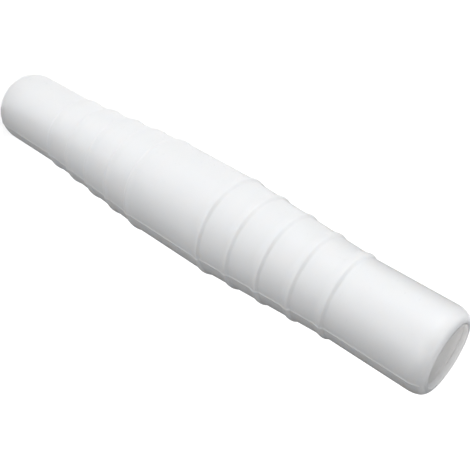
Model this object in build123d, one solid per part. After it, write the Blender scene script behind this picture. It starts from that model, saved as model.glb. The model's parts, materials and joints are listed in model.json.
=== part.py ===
"""Adapter that joins two pool hoses: one hollow moulded tube, the same at both ends."""
import os

from build123d import *

# Plain spigots, one at each end, which the smaller hose slides over
spigot_diameter = 31.75
spigot_length = 38.9       # from the end face to the crest of the nearest rib

# Thick barrel in the middle, between the two largest ribs
barrel_diameter = 39.6
barrel_length = 38.4       # from the crest of one large rib to the crest of the other

# Stepped ribs, which the larger hose is pushed over until it jams
rib_count = 5              # on each side of the barrel
rib_pitch = 13.45
crest_width = 1.0          # flat top of a rib
rise_length = 1.7          # gentle flank of a rib, which faces the barrel
rise_height = 0.42
drop_length = 1.4          # steep flank of the same rib, which faces the end
drop_height = 0.76

# Hollow section and turned-in ends
wall = 2.0
side_bend = 4.4            # shoulder between a spigot and its end face: first half of its turn
mouth_bend = 2.9           # and its second half, which is tighter
mouth_diameter = 21.6

spigot_radius = spigot_diameter / 2
barrel_radius = barrel_diameter / 2
mouth_radius = mouth_diameter / 2
half_length = barrel_length / 2 + (rib_count - 1) * rib_pitch + spigot_length

# The crests lie on a cone, from just over the barrel down to just over the spigot
largest_crest = barrel_radius + rise_height
smallest_crest = spigot_radius + drop_height
crest_step = (largest_crest - smallest_crest) / (rib_count - 1)


def rib_section(rib):
    """Foot on the barrel's side, both edges of the crest, and foot on the end's side."""
    crest = largest_crest - rib * crest_step
    height = barrel_length / 2 + rib * rib_pitch
    crest_start = height - crest_width / 2
    crest_end = height + crest_width / 2
    return [
        (crest - rise_height, crest_start - rise_length),
        (crest, crest_start),
        (crest, crest_end),
        (crest - drop_height, crest_end + drop_length),
    ]


def shoulder_section():
    """Rounded end of a spigot's side, which turns in to the end face in a slow and a tight bend."""
    first = JernArc((spigot_radius, 0), (0, 1), side_bend, 45)
    second = JernArc(first @ 1, first % 1, mouth_bend, 45)
    return Pos(0, half_length - (second @ 1).Y) * Wire([first, second])


def both_ways(upper_half):
    """Side from the bottom end to the top end, from the corners of its upper half."""
    lower_half = [(radius, -height) for radius, height in reversed(upper_half)]
    return Polyline(*lower_half, *upper_half)


def wall_section():
    """Wall of the tube on one side of its axis, with corners as radius and height over the middle.

    The bore follows the outside one wall behind it, but not into the ribs, which are too fine for the
    thick plastic to follow, and it cuts the corner behind the shoulder.
    """
    ribs = [rib_section(rib) for rib in range(rib_count)]
    shoulder = shoulder_section()
    shoulder_height = (shoulder @ 0).Y
    end_face_radius = (shoulder @ 1).X
    outer_half = [corner for rib in ribs for corner in rib] + [(spigot_radius, shoulder_height)]
    inner_half = [
        (barrel_radius - wall, ribs[0][0][1]),
        (spigot_radius - wall, ribs[-1][-1][1]),
        (spigot_radius - wall, shoulder_height),
        (end_face_radius, half_length - wall),
        (mouth_radius, half_length - wall),
        (mouth_radius, half_length),
        (end_face_radius, half_length),
    ]
    sides = [both_ways(outer_half), both_ways(inner_half), shoulder, mirror(shoulder, Plane.XZ)]
    return make_face([edge for side in sides for edge in side.edges()])


os.makedirs("parts", exist_ok=True)
adapter_tube = Pos(0, 0, half_length) * revolve(Plane.XZ * wall_section(), Axis.Z)
export_step(adapter_tube, "parts/adapter_tube.step")
print("overall length", round(2 * half_length, 2), "across the largest rib", round(2 * largest_crest, 2))
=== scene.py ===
"""Looks of a pool hose adapter: a blow-moulded tube of white plastic that stands on a white studio floor."""

import json
import math
from typing import NamedTuple

import bmesh
import bpy
from bpy.props import FloatProperty, FloatVectorProperty, IntProperty, PointerProperty, StringProperty
from mathutils import Euler, Matrix, Vector


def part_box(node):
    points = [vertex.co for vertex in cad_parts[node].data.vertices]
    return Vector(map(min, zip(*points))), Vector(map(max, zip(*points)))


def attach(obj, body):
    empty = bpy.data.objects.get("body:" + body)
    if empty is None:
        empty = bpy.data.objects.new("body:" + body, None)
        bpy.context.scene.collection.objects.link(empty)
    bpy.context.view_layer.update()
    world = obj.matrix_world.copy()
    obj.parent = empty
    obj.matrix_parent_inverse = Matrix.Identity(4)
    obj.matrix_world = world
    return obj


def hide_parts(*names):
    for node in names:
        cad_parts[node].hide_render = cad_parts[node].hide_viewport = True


bl_info = {
    "name": "Pool hose adapter",
    "version": (1, 0, 0),
    "blender": (4, 5, 0),
    "location": "3D View > Sidebar > Hose adapter",
    "description": "Models a white moulded hose adapter and the studio that it stands in",
    "category": "Add Mesh",
}

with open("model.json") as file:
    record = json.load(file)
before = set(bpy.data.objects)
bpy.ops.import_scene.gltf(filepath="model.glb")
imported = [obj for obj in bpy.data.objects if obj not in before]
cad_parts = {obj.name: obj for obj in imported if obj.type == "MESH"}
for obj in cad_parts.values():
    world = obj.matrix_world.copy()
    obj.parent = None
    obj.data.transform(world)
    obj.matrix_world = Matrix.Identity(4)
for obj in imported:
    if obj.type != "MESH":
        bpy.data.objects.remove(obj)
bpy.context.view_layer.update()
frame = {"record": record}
TUBE_LOW, TUBE_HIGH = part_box("adapter_tube")
MOUNTS = {mount["name"]: mount for mount in frame["record"]["mounts"]}
MM = 0.001
PLAIN_WHITE = "#ffffff"
SEAM_STEPS = 8           # faces across a mould seam line
SIDE_STEPS = 60          # faces round the tube from one seam line to the other
SLOW_BEND_STEPS = 6      # faces along the part of a shoulder next to the spigot's side
TIGHT_BEND_STEPS = 14    # and along the part next to the mouth


class TubeSizes(bpy.types.PropertyGroup):
    """Sizes of the tube. Those that the frame tells are read from it."""

    length: FloatProperty(
        name="Length",
        description="From end face to end face",
        default=TUBE_HIGH.z - TUBE_LOW.z,
        unit="LENGTH",
    )
    spigot_radius: FloatProperty(
        name="Spigot radius",
        description="Outside of the plain stretch at each end",
        default=MOUNTS["top_spigot"]["dims"]["r_mm"] * MM,
        unit="LENGTH",
    )
    barrel_radius: FloatProperty(
        name="Barrel radius",
        description="Outside of the thick stretch in the middle",
        default=19.8 * MM,
        unit="LENGTH",
    )
    barrel_length: FloatProperty(
        name="Barrel length",
        description="Between the crests of the two largest ribs",
        default=38.4 * MM,
        unit="LENGTH",
    )
    rib_count: IntProperty(
        name="Ribs",
        description="Number of ribs on each side of the barrel",
        default=5,
        min=2,
    )
    rib_pitch: FloatProperty(
        name="Rib pitch",
        description="From crest to crest",
        default=13.45 * MM,
        unit="LENGTH",
    )
    crest_width: FloatProperty(
        name="Crest width",
        description="Flat top of a rib",
        default=1.0 * MM,
        unit="LENGTH",
    )
    rib_rise: FloatProperty(
        name="Rib rise",
        description="Height of a crest over the side that faces the barrel",
        default=0.42 * MM,
        unit="LENGTH",
    )
    rise_length: FloatProperty(
        name="Rise length",
        description="Gentle flank of a rib, which faces the barrel",
        default=1.7 * MM,
        unit="LENGTH",
    )
    rib_drop: FloatProperty(
        name="Rib drop",
        description="Height of the same crest over the side that faces the end",
        default=0.76 * MM,
        unit="LENGTH",
    )
    drop_length: FloatProperty(
        name="Drop length",
        description="Steep flank of the same rib, which faces the end",
        default=1.1 * MM,
        unit="LENGTH",
    )
    crest_round: FloatProperty(
        name="Crest round",
        description="Length by which both edges of a crest, and the foot on the end's side, are rounded",
        default=0.3 * MM,
        unit="LENGTH",
    )
    foot_round: FloatProperty(
        name="Foot round",
        description="Length by which the foot on the barrel's side is rounded",
        default=0.9 * MM,
        unit="LENGTH",
    )
    wall: FloatProperty(
        name="Wall",
        description="Thickness of the plastic",
        default=2.0 * MM,
        unit="LENGTH",
    )
    side_bend: FloatProperty(
        name="Side bend",
        description="Radius of the shoulder's slow bend, next to the spigot's side",
        default=9.0 * MM,
        unit="LENGTH",
    )
    side_turn: FloatProperty(
        name="Side turn",
        description="Angle by which that bend turns",
        default=math.radians(23),
        unit="ROTATION",
    )
    mouth_bend: FloatProperty(
        name="Mouth bend",
        description="Radius of the rest of the shoulder, next to the mouth",
        default=3.15 * MM,
        unit="LENGTH",
    )
    bore_round: FloatProperty(
        name="Bore round",
        description="Length by which the corners of the bore are rounded",
        default=2.0 * MM,
        unit="LENGTH",
    )
    mouth_radius: FloatProperty(
        name="Mouth radius",
        description="Of the open hole in each end face",
        default=11.6 * MM,
        unit="LENGTH",
    )
    lip_round: FloatProperty(
        name="Lip round",
        description="Radius of the trimmed edge of a mouth",
        default=0.3 * MM,
        unit="LENGTH",
    )
    seam_height: FloatProperty(
        name="Seam height",
        description="Of the raised line where the two mould halves met, on the spigots",
        default=0.2 * MM,
        unit="LENGTH",
    )
    seam_width: FloatProperty(
        name="Seam width",
        description="Of the same line",
        default=1.3 * MM,
        unit="LENGTH",
    )


class PlasticFinish(bpy.types.PropertyGroup):
    """Finish of the white plastic."""

    white: StringProperty(
        name="White",
        description="Colour of the plastic, as an sRGB hex value",
        default="#f6f7f8",
    )
    roughness: FloatProperty(
        name="Roughness",
        description="Of the skin that the mould left",
        default=0.3,
        subtype="FACTOR",
    )
    roughness_spread: FloatProperty(
        name="Roughness spread",
        description="How much the grain adds to the roughness, or takes from it",
        default=0.03,
        subtype="FACTOR",
    )
    # Painted shade: how much the colour is darkened in the hollows of the slow waves, where the bump dips
    painted_wave_shade: FloatProperty(
        name="Painted wave shade",
        description="How much darker the plastic is in the hollows of its slow waves",
        default=0.015,
        subtype="FACTOR",
    )
    side_depth: FloatProperty(
        name="Side depth",
        description="How far light spreads in the thick side of the tube",
        default=0.8 * MM,
        unit="LENGTH",
    )
    lip_depth: FloatProperty(
        name="Lip depth",
        description="How far light spreads in the thin lip of a mouth, which glows because of it",
        default=25 * MM,
        unit="LENGTH",
    )
    lip_reach: FloatProperty(
        name="Lip reach",
        description="Distance from the tube's axis up to which the plastic is as clear as the lip",
        default=12.5 * MM,
        unit="LENGTH",
    )
    side_reach: FloatProperty(
        name="Side reach",
        description="Distance from the tube's axis past which the plastic is as dense as the side",
        default=15.0 * MM,
        unit="LENGTH",
    )
    wave_length: FloatProperty(
        name="Wave length",
        description="Across the slow waves that a blown wall cools into",
        default=14 * MM,
        unit="LENGTH",
    )
    wave_height: FloatProperty(
        name="Wave height",
        description="Of the same waves",
        default=0.12 * MM,
        unit="LENGTH",
    )
    grain_length: FloatProperty(
        name="Grain length",
        description="Across the grain of the skin",
        default=0.8 * MM,
        unit="LENGTH",
    )
    grain_height: FloatProperty(
        name="Grain height",
        description="Of the same grain",
        default=0.01 * MM,
        unit="LENGTH",
    )


class StudioSettings(bpy.types.PropertyGroup):
    """Floor, light and camera."""

    paper: StringProperty(
        name="Paper",
        description="Colour of the floor, as an sRGB hex value",
        default="#dcdcdc",
    )
    paper_glow: FloatProperty(
        name="Paper glow",
        description="Lift of the floor towards white, which lights nothing",
        default=0.7,
    )
    floor_size: FloatProperty(
        name="Floor size",
        description="Along each side of the floor",
        default=12.0,
        unit="LENGTH",
    )
    sky_strength: FloatProperty(
        name="Sky strength",
        description="Light that comes evenly from all round",
        default=0.62,
    )
    key_glow: FloatProperty(
        name="Key glow",
        description="Brightness of the low softbox on the left, where 1 is white",
        default=2.97,
    )
    fill_glow: FloatProperty(
        name="Fill glow",
        description="Brightness of the low softbox on the right, where 1 is white",
        default=2.13,
    )
    back_glow: FloatProperty(
        name="Back glow",
        description="Brightness of the high softbox behind the tube, where 1 is white",
        default=2.55,
    )
    front_glow: FloatProperty(
        name="Front glow",
        description="Brightness of the light panel on the floor before the tube, where 1 is white",
        default=0.39,
    )
    lamp_white: StringProperty(
        name="Lamp white",
        description="Colour of the lamps before the tube, as an sRGB hex value",
        default="#fafcff",
    )
    flag_grey: StringProperty(
        name="Flag grey",
        description="Colour of the cards that darken the tube's edges, as an sRGB hex value",
        default="#303030",
    )
    focal_length: FloatProperty(
        name="Focal length",
        description="Of the camera's lens, on a 36 mm wide sensor",
        default=56.66,
        unit="CAMERA",
    )
    camera_place: FloatVectorProperty(
        name="Camera place",
        description="Where the camera stands",
        default=(0.12898, -0.20235, 0.27582),
        unit="LENGTH",
    )
    camera_azimuth: FloatProperty(
        name="Camera azimuth",
        description="Compass direction that the camera looks in, from the X axis towards the Y axis",
        default=math.radians(122.032),
        unit="ROTATION",
    )
    camera_elevation: FloatProperty(
        name="Camera elevation",
        description="Angle by which the camera looks up. It is negative, because the camera looks down",
        default=math.radians(-30.605),
        unit="ROTATION",
    )
    camera_roll: FloatProperty(
        name="Camera roll",
        description="Turn of the camera about its line of sight",
        default=math.radians(121.154),
        unit="ROTATION",
    )


def linear(hex_colour):
    """The linear colour, with alpha, of an sRGB hex value such as #ffffff."""
    channels = [int(hex_colour[start : start + 2], 16) / 255 for start in (1, 3, 5)]
    return [c / 12.92 if c <= 0.04045 else ((c + 0.055) / 1.055) ** 2.4 for c in channels] + [1.0]


def add_node(tree, kind, fields=None, inputs=None):
    """Adds a node with its fields set, and its inputs set to values or linked to other nodes' sockets."""
    node = tree.nodes.new(kind)
    for name, value in (fields or {}).items():
        setattr(node, name, value)
    for name, value in (inputs or {}).items():
        if isinstance(value, bpy.types.NodeSocket):
            tree.links.new(value, node.inputs[name])
        else:
            node.inputs[name].default_value = value
    return node


def new_material(name):
    """An empty material, its node tree and its output."""
    material = bpy.data.materials.new(name)
    material.use_nodes = True
    material.node_tree.nodes.clear()
    return material, material.node_tree, add_node(material.node_tree, "ShaderNodeOutputMaterial")


def moulded_polypropylene(finish):
    """Blow-moulded white polypropylene. Its skin is smooth but not polished, so lamps show in it as soft
    patches. The wall cools into slow waves, which bend those patches, and the mould's fine grain
    breaks their edges up. The real grain is too fine to show, so it is drawn coarser. Light spreads a
    little way in the side, which softens the ribs, and far in the lip of a mouth, which glows."""
    material, tree, output = new_material("moulded_white_polypropylene")
    place = add_node(tree, "ShaderNodeTexCoord").outputs["Object"]
    off_axis = add_node(
        tree,
        "ShaderNodeVectorMath",
        {"operation": "MULTIPLY"},
        {0: place, 1: (1.0, 1.0, 0.0)},
    )
    radius = add_node(tree, "ShaderNodeVectorMath", {"operation": "LENGTH"}, {0: off_axis.outputs["Vector"]})
    depth = add_node(
        tree,
        "ShaderNodeMapRange",
        inputs={
            "Value": radius.outputs["Value"],
            "From Min": finish.lip_reach,
            "From Max": finish.side_reach,
            "To Min": finish.lip_depth,
            "To Max": finish.side_depth,
        },
    )
    waves = add_node(
        tree,
        "ShaderNodeTexNoise",
        inputs={"Vector": place, "Scale": 1 / finish.wave_length, "Detail": 1.0, "Roughness": 0.4},
    )
    grain = add_node(
        tree,
        "ShaderNodeTexNoise",
        inputs={"Vector": place, "Scale": 1 / finish.grain_length, "Detail": 3.0, "Roughness": 0.6},
    )
    wavy = add_node(
        tree,
        "ShaderNodeBump",
        inputs={"Height": waves.outputs["Fac"], "Strength": 1.0, "Distance": finish.wave_height},
    )
    grained = add_node(
        tree,
        "ShaderNodeBump",
        inputs={
            "Height": grain.outputs["Fac"],
            "Normal": wavy.outputs["Normal"],
            "Strength": 0.25,
            "Distance": finish.grain_height,
        },
    )
    roughness = add_node(
        tree,
        "ShaderNodeMapRange",
        inputs={
            "Value": grain.outputs["Fac"],
            "From Min": 0.3,
            "From Max": 0.7,
            "To Min": finish.roughness - finish.roughness_spread,
            "To Max": finish.roughness + finish.roughness_spread,
        },
    )
    white = linear(finish.white)
    # Painted shade: the base colour goes darker towards the hollows of the slow waves that the bump draws,
    # so their shading is painted into the colour as well
    wave_hollow_shade_white = [channel * (1 - finish.painted_wave_shade) for channel in white[:3]] + [1.0]
    wave_shaded_white = add_node(
        tree,
        "ShaderNodeMix",
        {"data_type": "RGBA"},
        {"Factor": waves.outputs["Fac"], "A": wave_hollow_shade_white, "B": white},
    )
    shader = add_node(
        tree,
        "ShaderNodeBsdfPrincipled",
        inputs={
            "Base Color": wave_shaded_white.outputs["Result"],
            "Roughness": roughness.outputs["Result"],
            "IOR": 1.49,
            "Subsurface Weight": 1.0,
            "Subsurface Radius": (1.0, 0.95, 0.9),
            "Subsurface Scale": depth.outputs["Result"],
            "Normal": grained.outputs["Normal"],
        },
    )
    tree.links.new(shader.outputs["BSDF"], output.inputs["Surface"])
    return material


def white_seamless_paper(studio):
    """White seamless paper. It takes the tube's shadow, and a glow of its own, seen only by the
    camera and in reflections and glass, lifts it to plain white without lighting the tube."""
    material, tree, output = new_material("white_seamless_paper")
    seen = seen_directly(tree)
    glow_seen = add_node(tree, "ShaderNodeMath", {"operation": "MULTIPLY"}, {0: seen, 1: studio.paper_glow})
    paper = add_node(tree, "ShaderNodeBsdfDiffuse", inputs={"Color": linear(studio.paper)})
    glow = add_node(tree, "ShaderNodeEmission", inputs={"Strength": glow_seen.outputs["Value"]})
    both = add_node(
        tree,
        "ShaderNodeAddShader",
        inputs={0: paper.outputs["BSDF"], 1: glow.outputs["Emission"]},
    )
    tree.links.new(both.outputs["Shader"], output.inputs["Surface"])
    return material


def matt_grey_card(studio):
    """Matt grey card, which the tube shows as a soft dark edge."""
    material, tree, output = new_material("matt_grey_card")
    card = add_node(tree, "ShaderNodeBsdfDiffuse", inputs={"Color": linear(studio.flag_grey)})
    tree.links.new(card.outputs["BSDF"], output.inputs["Surface"])
    return material


def seen_directly(tree):
    """A socket that is 1 for rays from the camera, a reflection or glass, and 0 for light that bounces."""
    path = add_node(tree, "ShaderNodeLightPath")
    mirrored = add_node(
        tree,
        "ShaderNodeMath",
        {"operation": "MAXIMUM"},
        {0: path.outputs["Is Glossy Ray"], 1: path.outputs["Is Transmission Ray"]},
    )
    seen = add_node(
        tree,
        "ShaderNodeMath",
        {"operation": "MAXIMUM"},
        {0: path.outputs["Is Camera Ray"], 1: mirrored.outputs["Value"]},
    )
    return seen.outputs["Value"]


class Corner(NamedTuple):
    """Corner of the wall's section. Its round is a length along both sides, and a number of segments."""

    radius: float
    height: float
    rounding: float = 0.0
    segments: int = 0


def rounded_wire(bm, corners):
    """Closed wire through corners, whose rounds are bevelled in."""
    verts = []
    alike = {}
    for corner in corners:
        vert = bm.verts.new((corner.radius, 0.0, corner.height))
        verts.append(vert)
        alike.setdefault((corner.rounding, corner.segments), []).append(vert)
    for start, end in zip(verts, verts[1:] + verts[:1]):
        bm.edges.new((start, end))
    for (rounding, segments), group in alike.items():
        if segments:
            bmesh.ops.bevel(
                bm,
                geom=group,
                offset=rounding,
                offset_type="OFFSET",
                segments=segments,
                profile=0.5,
                affect="VERTICES",
                material=-1,
            )


def rib_corners(sizes, rib):
    """Foot on the barrel's side, both edges of the crest, and foot on the end's side. Height 0 is the middle
    of the tube, and the crests lie on a cone, from just over the barrel down to just over the spigot."""
    largest_crest = sizes.barrel_radius + sizes.rib_rise
    smallest_crest = sizes.spigot_radius + sizes.rib_drop
    crest_step = (largest_crest - smallest_crest) / (sizes.rib_count - 1)
    crest = largest_crest - rib * crest_step
    height = sizes.barrel_length / 2 + rib * sizes.rib_pitch
    crest_start = height - sizes.crest_width / 2
    crest_end = height + sizes.crest_width / 2
    return [
        Corner(crest - sizes.rib_rise, crest_start - sizes.rise_length, sizes.foot_round, segments=5),
        Corner(crest, crest_start, sizes.crest_round, segments=3),
        Corner(crest, crest_end, sizes.crest_round, segments=4),
        Corner(crest - sizes.rib_drop, crest_end + sizes.drop_length, sizes.crest_round, segments=4),
    ]


def shoulder_corners(sizes):
    """Points along a shoulder's slow and tight bend, from the spigot's side to the end face."""
    slow = (sizes.side_bend, sizes.side_turn, SLOW_BEND_STEPS)
    tight = (sizes.mouth_bend, math.pi / 2 - sizes.side_turn, TIGHT_BEND_STEPS)
    radius, height, turned = sizes.spigot_radius, 0.0, 0.0
    points = [(radius, height)]
    for bend, angle, steps in (slow, tight):
        half_step = angle / steps / 2
        chord = 2 * bend * math.sin(half_step)
        for _ in range(steps):
            turned += half_step
            radius -= chord * math.sin(turned)
            height += chord * math.cos(turned)
            turned += half_step
            points.append((radius, height))
    start = sizes.length / 2 - height
    return [Corner(radius, start + height) for radius, height in points]


def mirrored(corners):
    """The same corners at the other end of the tube, in the opposite order."""
    return [corner._replace(height=-corner.height) for corner in reversed(corners)]


def tube_corners(sizes):
    """Corners of the wall's section, up the outside and back down the inside. Height 0 is the bottom end."""
    half = sizes.length / 2
    ribs = [corner for rib in range(sizes.rib_count) for corner in rib_corners(sizes, rib)]
    outside = ribs + shoulder_corners(sizes)
    bore = sizes.spigot_radius - sizes.wall
    barrel_bore = sizes.barrel_radius - sizes.wall
    inside = [
        Corner(sizes.mouth_radius, half, sizes.lip_round, segments=4),
        Corner(sizes.mouth_radius, half - sizes.wall, sizes.lip_round, segments=4),
        Corner(bore, half - sizes.wall, sizes.bore_round, segments=6),
        Corner(bore, ribs[-1].height, sizes.bore_round, segments=4),
        Corner(barrel_bore, ribs[0].height, sizes.bore_round, segments=4),
    ]
    ring = mirrored(outside) + outside + inside + mirrored(inside)
    return [corner._replace(height=half + corner.height) for corner in ring]


def spin_on(bm, geom, angle, steps):
    """Turns the last section on round the axis, and returns the section that it ends at."""
    turned = bmesh.ops.spin(bm, geom=geom, cent=(0, 0, 0), axis=(0, 0, 1), angle=angle, steps=steps)
    return turned["geom_last"]


def raise_seams(bm, sizes):
    """Lifts the fine line where the two mould halves met, on the sides that face along the X axis."""
    bm.normal_update()
    bore = sizes.spigot_radius - sizes.wall / 2
    for vert in bm.verts:
        across = abs(vert.co.y) / (sizes.seam_width / 2)
        outside = vert.normal.x * vert.co.x > 0 and abs(vert.co.x) > bore
        if across < 1 and outside:
            vert.co += vert.normal * sizes.seam_height * math.cos(across * math.pi / 2) ** 2


class ADAPTER_OT_tube(bpy.types.Operator):
    """Model the tube from the section of its wall, turned round its axis"""

    bl_idname = "adapter.tube"
    bl_label = "Tube"

    def execute(self, context):
        sizes = context.scene.adapter_tube
        bm = bmesh.new()
        rounded_wire(bm, tube_corners(sizes))
        seam_angle = 2 * math.asin(sizes.seam_width / 2 / sizes.spigot_radius)
        turn = Matrix.Rotation(-seam_angle / 2, 3, "Z")
        bmesh.ops.rotate(bm, verts=bm.verts[:], cent=(0, 0, 0), matrix=turn)
        section = bm.verts[:] + bm.edges[:]
        for _ in range(2):
            section = spin_on(bm, section, seam_angle, SEAM_STEPS)
            section = spin_on(bm, section, math.pi - seam_angle, SIDE_STEPS)
        bmesh.ops.remove_doubles(bm, verts=bm.verts[:], dist=0.001 * MM)
        bmesh.ops.recalc_face_normals(bm, faces=bm.faces[:])
        raise_seams(bm, sizes)
        for face in bm.faces:
            face.smooth = True
        mesh = bpy.data.meshes.new("tube")
        bm.to_mesh(mesh)
        bm.free()
        mesh.materials.append(moulded_polypropylene(context.scene.adapter_plastic))
        tube = bpy.data.objects.new("tube", mesh)
        context.scene.collection.objects.link(tube)
        shading = tube.modifiers.new("even_shading", "WEIGHTED_NORMAL")
        shading.weight = 100
        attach(tube, "root")
        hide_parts("adapter_tube")
        return {"FINISHED"}


def around(azimuth, distance, height):
    """A place at a compass direction in degrees, from the X axis towards the Y axis, and at a distance from
    the tube's axis and a height over the floor."""
    angle = math.radians(azimuth)
    return Vector((distance * math.cos(angle), distance * math.sin(angle), height))


def beside_edge(azimuth, start, length, width, height):
    """Middle of a level rectangle at a height over the floor. Its left edge starts near the tube's axis and
    runs outwards along a compass direction, and the rectangle lies on the right of that edge, seen from
    the tube."""
    along = around(azimuth, 1.0, 0.0)
    right = around(azimuth - 90, 1.0, 0.0)
    return along * (start + length / 2) + right * width / 2 + Vector((0, 0, height))


def lay_floor(scene, studio):
    """A square of white paper at height 0."""
    bm = bmesh.new()
    bmesh.ops.create_grid(bm, x_segments=1, y_segments=1, size=studio.floor_size / 2)
    mesh = bpy.data.meshes.new("floor")
    bm.to_mesh(mesh)
    bm.free()
    mesh.materials.append(white_seamless_paper(studio))
    floor = bpy.data.objects.new("floor", mesh)
    scene.collection.objects.link(floor)


def light_sky(scene, studio):
    """Even light from all round. The camera and reflections see it as plain white."""
    world = bpy.data.worlds.new("studio")
    scene.world = world
    world.use_nodes = True
    tree = world.node_tree
    tree.nodes.clear()
    strength = add_node(
        tree,
        "ShaderNodeMapRange",
        inputs={"Value": seen_directly(tree), "To Min": studio.sky_strength, "To Max": 1.0},
    )
    sky = add_node(
        tree,
        "ShaderNodeBackground",
        inputs={"Color": linear(PLAIN_WHITE), "Strength": strength.outputs["Result"]},
    )
    output = add_node(tree, "ShaderNodeOutputWorld")
    tree.links.new(sky.outputs["Background"], output.inputs["Surface"])


def add_card(scene, material, name, width, height, turn, place):
    """A card that darkens one side of the tube. It shows only in reflections, and casts no shadow."""
    bm = bmesh.new()
    bmesh.ops.create_grid(bm, x_segments=1, y_segments=1, size=0.5)
    bmesh.ops.scale(bm, verts=bm.verts[:], vec=(width, height, 1))
    bmesh.ops.rotate(bm, verts=bm.verts[:], matrix=turn)
    bmesh.ops.translate(bm, verts=bm.verts[:], vec=place)
    mesh = bpy.data.meshes.new(name)
    bm.to_mesh(mesh)
    bm.free()
    mesh.materials.append(material)
    card = bpy.data.objects.new(name, mesh)
    card.visible_camera = False
    card.visible_diffuse = False
    card.visible_shadow = False
    card.visible_transmission = False
    scene.collection.objects.link(card)
    return card


def lay_card(scene, material, name, azimuth, start, length, width, height):
    """A card that lies level, beside an edge along a compass direction."""
    turn = Matrix.Rotation(math.radians(azimuth), 3, "Z")
    place = beside_edge(azimuth, start, length, width, height)
    return add_card(scene, material, name, length, width, turn, place)


def stand_card(scene, material, name, width, height, place):
    """A card that stands upright and faces the tube's axis."""
    facing = Vector((-place.x, -place.y, 0)).normalized()
    turn = facing.to_track_quat("Z", "Y").to_matrix()
    return add_card(scene, material, name, width, height, turn, place)


def set_cards(scene, studio):
    """Grey cards round the tube: one on the floor and four upright. The last two also hold back some of the
    light that the floor and the sky give the tube."""
    grey = matt_grey_card(studio)
    lay_card(scene, grey, "low_flag", azimuth=151, start=-0.15, length=1.3, width=1.2, height=0.5 * MM)
    behind_tube = around(azimuth=94, distance=0.9, height=0.6)
    stand_card(scene, grey, "back_flag", width=1.15, height=1.2, place=behind_tube)
    behind_camera = around(azimuth=302, distance=0.8, height=0.8)
    stand_card(scene, grey, "camera_flag", width=0.5, height=1.0, place=behind_camera)
    near_side = around(azimuth=27, distance=0.4, height=0.45)
    side_flag = stand_card(scene, grey, "side_flag", width=1.0, height=0.9, place=near_side)
    side_flag.visible_diffuse = True
    far_side = around(azimuth=174, distance=0.42, height=0.18)
    far_flag = stand_card(scene, grey, "far_flag", width=0.42, height=0.34, place=far_side)
    far_flag.visible_diffuse = True


def add_lamp(scene, name, colour, glow, width, height):
    """A rectangular lamp out of the camera's sight. Its glow is its own brightness, where 1 is white."""
    lamp = bpy.data.lights.new(name, "AREA")
    lamp.shape = "RECTANGLE"
    lamp.size = width
    lamp.size_y = height
    lamp.energy = math.pi * width * height * glow
    lamp.color = linear(colour)[:3]
    holder = bpy.data.objects.new(name, lamp)
    holder.visible_camera = False
    scene.collection.objects.link(holder)
    return holder


def lay_panel(panel, azimuth, start, length, width):
    """Lays a lamp face up just over the floor, beside an edge along a compass direction."""
    panel.location = beside_edge(azimuth, start, length, width, height=1 * MM)
    panel.rotation_euler = Euler((math.pi, 0, math.radians(azimuth)))


def hang_softbox(softbox, azimuth, distance, height):
    """Hangs a lamp somewhere round the tube, where it faces the tube's middle."""
    place = around(azimuth, distance, height)
    middle = (TUBE_LOW + TUBE_HIGH) / 2
    softbox.location = place
    softbox.rotation_euler = (middle - place).to_track_quat("-Z", "Y").to_euler()


def set_lamps(scene, studio):
    """A panel on the floor and two low softboxes in front of the tube, and a high softbox behind it, which
    lights the mouth and shows in no reflection."""
    panel = add_lamp(scene, "front_panel", studio.lamp_white, studio.front_glow, width=1.2, height=1.2)
    lay_panel(panel, azimuth=322, start=0.022, length=1.2, width=1.2)
    key = add_lamp(scene, "key", studio.lamp_white, studio.key_glow, width=0.8, height=0.3)
    hang_softbox(key, azimuth=247, distance=0.9, height=0.2)
    fill = add_lamp(scene, "fill", studio.lamp_white, studio.fill_glow, width=0.8, height=0.3)
    hang_softbox(fill, azimuth=332, distance=0.9, height=0.2)
    back = add_lamp(scene, "back", PLAIN_WHITE, studio.back_glow, width=0.6, height=0.6)
    hang_softbox(back, azimuth=165, distance=0.7, height=0.9)
    back.visible_glossy = False


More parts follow.
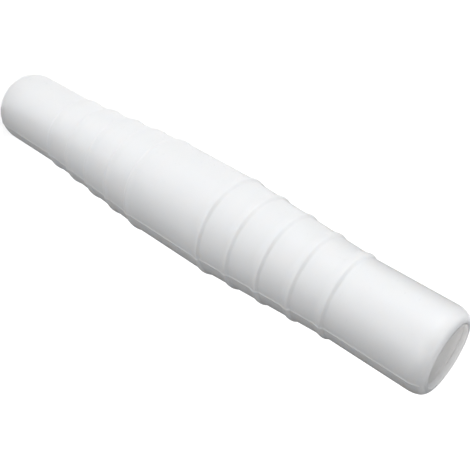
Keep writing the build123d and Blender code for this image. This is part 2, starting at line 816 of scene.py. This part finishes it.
def aim_camera(scene, studio):
    """The camera, which looks down on the near end of the tube and is turned well over on its side."""
    camera = bpy.data.cameras.new("camera")
    camera.lens = studio.focal_length
    camera.clip_start = 0.01
    holder = bpy.data.objects.new("camera", camera)
    looking = Euler((math.pi / 2 + studio.camera_elevation, 0, studio.camera_azimuth - math.pi / 2))
    rolled = Matrix.Rotation(studio.camera_roll, 4, "Z")
    holder.matrix_world = Matrix.Translation(studio.camera_place) @ looking.to_matrix().to_4x4() @ rolled
    scene.collection.objects.link(holder)
    scene.camera = holder


class ADAPTER_OT_stage(bpy.types.Operator):
    """Set up the floor, the light and the camera"""

    bl_idname = "adapter.stage"
    bl_label = "Stage"

    def execute(self, context):
        scene = context.scene
        studio = scene.adapter_studio
        scene.view_settings.view_transform = "Standard"
        lay_floor(scene, studio)
        light_sky(scene, studio)
        set_cards(scene, studio)
        set_lamps(scene, studio)
        aim_camera(scene, studio)
        return {"FINISHED"}


class ADAPTER_PT_panel(bpy.types.Panel):
    """Lists the operators and the sizes that they use"""

    bl_idname = "ADAPTER_PT_panel"
    bl_label = "Hose adapter"
    bl_space_type = "VIEW_3D"
    bl_region_type = "UI"
    bl_category = "Hose adapter"

    def draw(self, context):
        groups = (
            ("adapter.tube", context.scene.adapter_tube),
            ("adapter.tube", context.scene.adapter_plastic),
            ("adapter.stage", context.scene.adapter_studio),
        )
        for operator, group in groups:
            box = self.layout.box()
            box.operator(operator)
            for name in group.__annotations__:
                box.prop(group, name)


CLASSES = (TubeSizes, PlasticFinish, StudioSettings, ADAPTER_OT_tube, ADAPTER_OT_stage, ADAPTER_PT_panel)


def register():
    for cls in CLASSES:
        bpy.utils.register_class(cls)
    bpy.types.Scene.adapter_tube = PointerProperty(type=TubeSizes)
    bpy.types.Scene.adapter_plastic = PointerProperty(type=PlasticFinish)
    bpy.types.Scene.adapter_studio = PointerProperty(type=StudioSettings)


def unregister():
    del bpy.types.Scene.adapter_studio
    del bpy.types.Scene.adapter_plastic
    del bpy.types.Scene.adapter_tube
    for cls in reversed(CLASSES):
        bpy.utils.unregister_class(cls)


def main():
    register()
    bpy.ops.adapter.tube()
    bpy.ops.adapter.stage()


if __name__ == "__main__":
    main()
